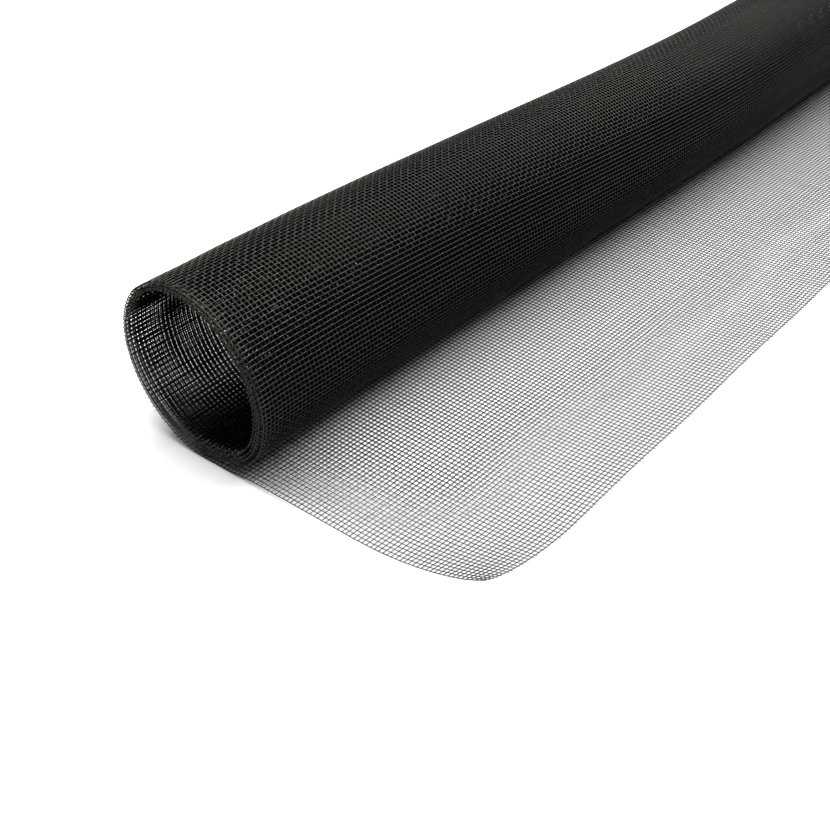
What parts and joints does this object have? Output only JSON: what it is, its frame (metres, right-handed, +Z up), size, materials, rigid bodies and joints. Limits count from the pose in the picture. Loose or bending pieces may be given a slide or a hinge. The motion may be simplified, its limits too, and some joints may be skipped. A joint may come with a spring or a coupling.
{
  "type": "roll of insect screen",
  "caption": "Slack roll of black coated fibreglass insect screen lying on its side, with a loose end of the mesh pulled out flat in front of it.",
  "frame": {"origin": "on the floor, under the middle of the bounding box", "axes": "+Z up, +Y along the roll from the open end that the picture shows, +X from the roll towards the free edge of the loose end"},
  "size_m": [0.1272, 0.6, 0.0538],
  "materials": {
    "coated_mesh": "plain-woven glass yarn in a smooth black plastic coating, semi-gloss strands with open square holes between them"
  },
  "bodies": {
    "root": {"screen_cloth": "coated_mesh"}
  },
  "joints": []
}
